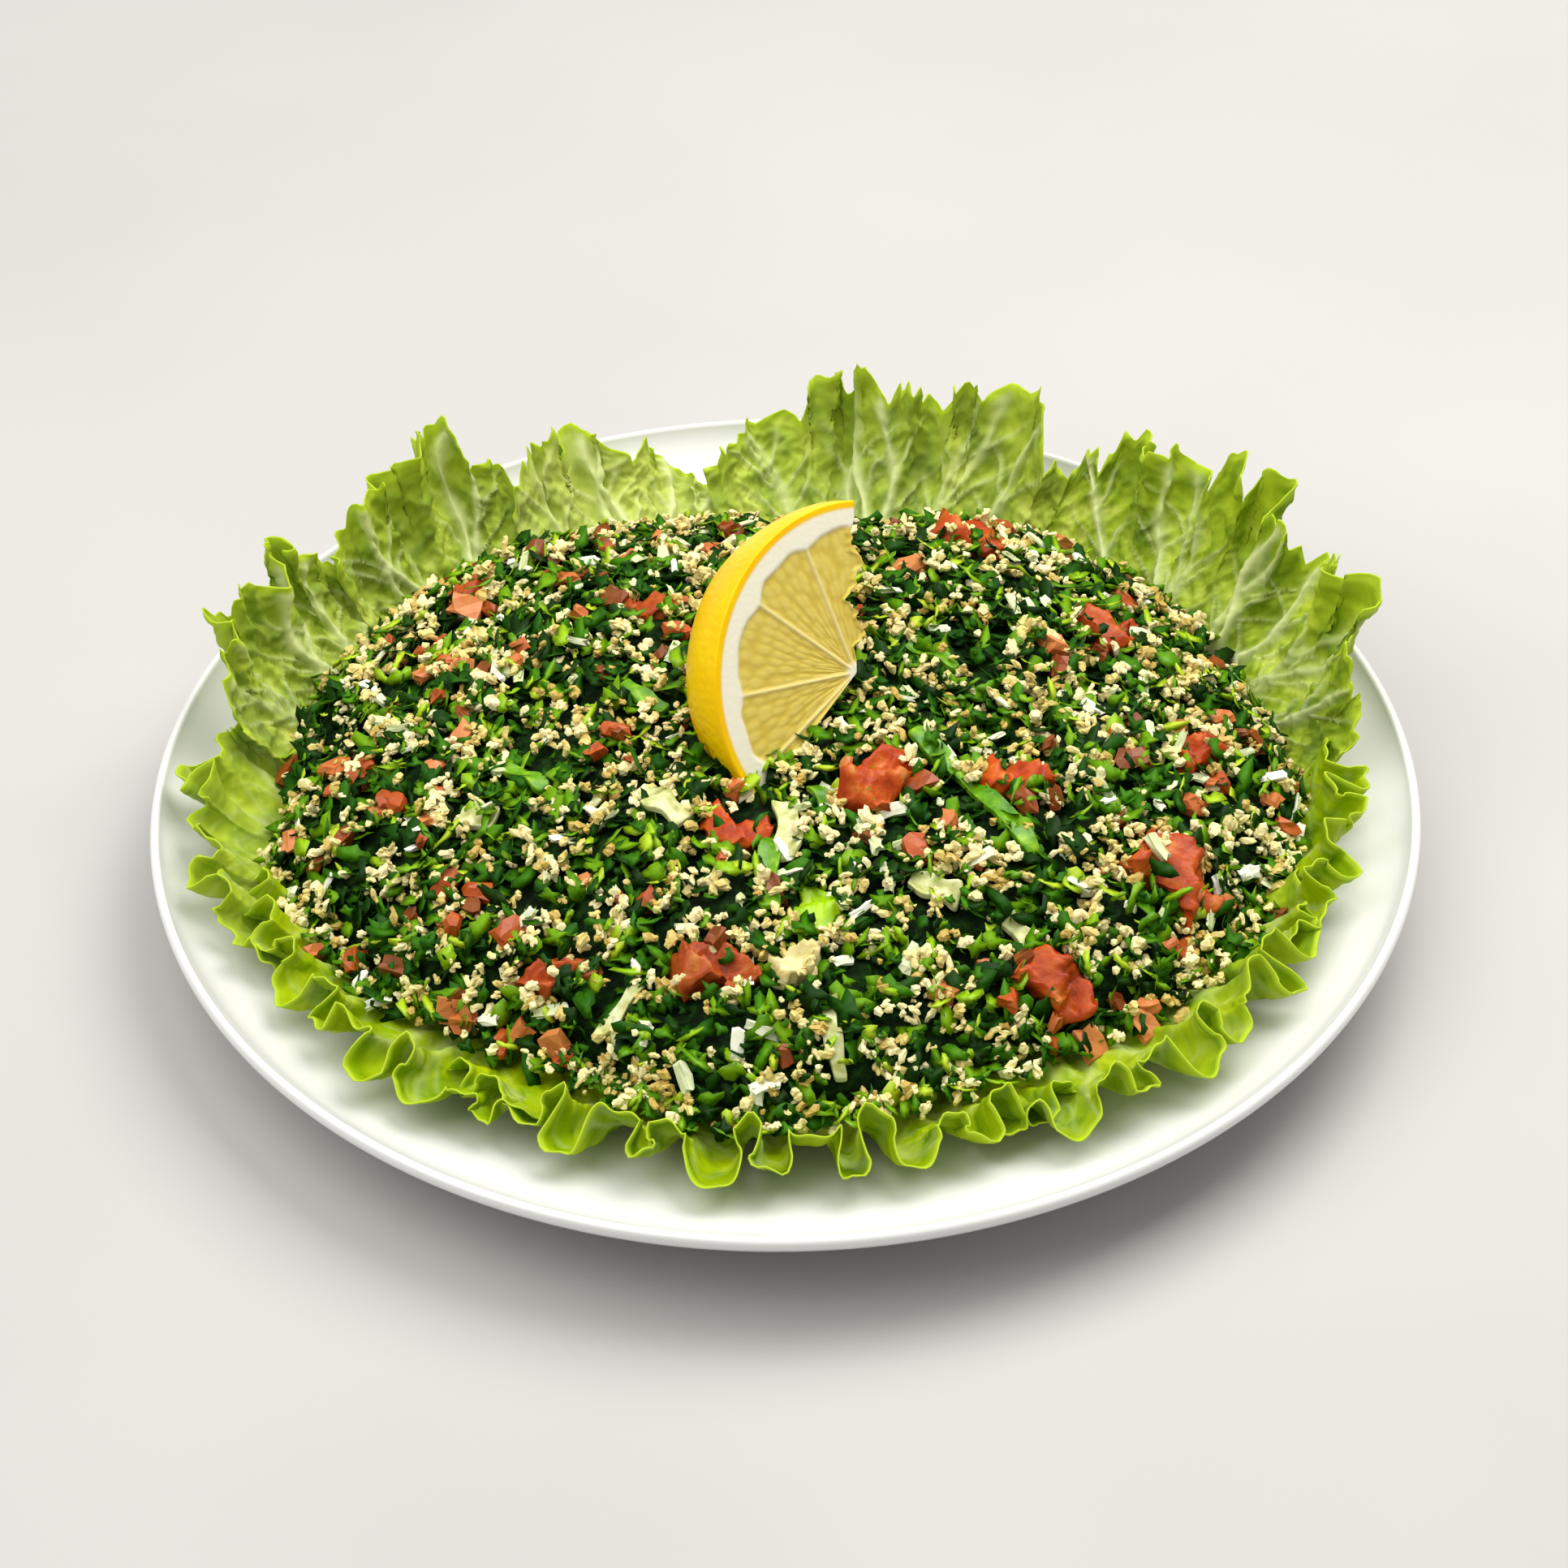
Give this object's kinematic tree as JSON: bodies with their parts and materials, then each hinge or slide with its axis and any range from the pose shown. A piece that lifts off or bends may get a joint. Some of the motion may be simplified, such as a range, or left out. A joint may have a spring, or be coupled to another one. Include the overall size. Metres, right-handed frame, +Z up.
{
  "type": "tabbouleh salad on plate",
  "caption": "White round plate ringed with frilled green lettuce leaves, holding a low heap of chopped herb and grain salad with tomato, topped by a lemon wedge.",
  "frame": {"origin": "centre of the plate's foot ring, on the table", "axes": "+Z up; +Y from the diner to the back of the plate, where the tall lettuce leaves stand; +X to the right"},
  "size_m": [0.2398, 0.2398, 0.0721],
  "materials": {
    "porcelain": "smooth white glaze",
    "lettuce": "crisp wet leaf, pale ribs, bright frilled margin",
    "tabbouleh": "chopped parsley with cream bulgur grains, moist",
    "tomato": "wet cut flesh",
    "onion": "pale moist cut onion",
    "lemon": "waxy pitted rind, white pith, translucent flesh"
  },
  "bodies": {
    "root": {"plate": "porcelain", "lettuce_back_centre": "lettuce", "lettuce_back_right": "lettuce", "lettuce_back_small": "lettuce", "lettuce_back_left": "lettuce", "lettuce_left_back": "lettuce", "lettuce_left": "lettuce", "lettuce_front_left": "lettuce", "lettuce_front": "lettuce", "lettuce_front_right": "lettuce", "lettuce_right": "lettuce", "tabbouleh": "tabbouleh", "tomato_1": "tomato", "tomato_2": "tomato", "tomato_3": "tomato", "tomato_4": "tomato", "tomato_5": "tomato", "tomato_6": "tomato", "tomato_7": "tomato", "tomato_8": "tomato", "tomato_9": "tomato", "tomato_10": "tomato", "tomato_11": "tomato", "tomato_12": "tomato", "green_leaf_piece": "lettuce", "onion_piece": "onion", "lemon_wedge": "lemon"}
  },
  "joints": []
}
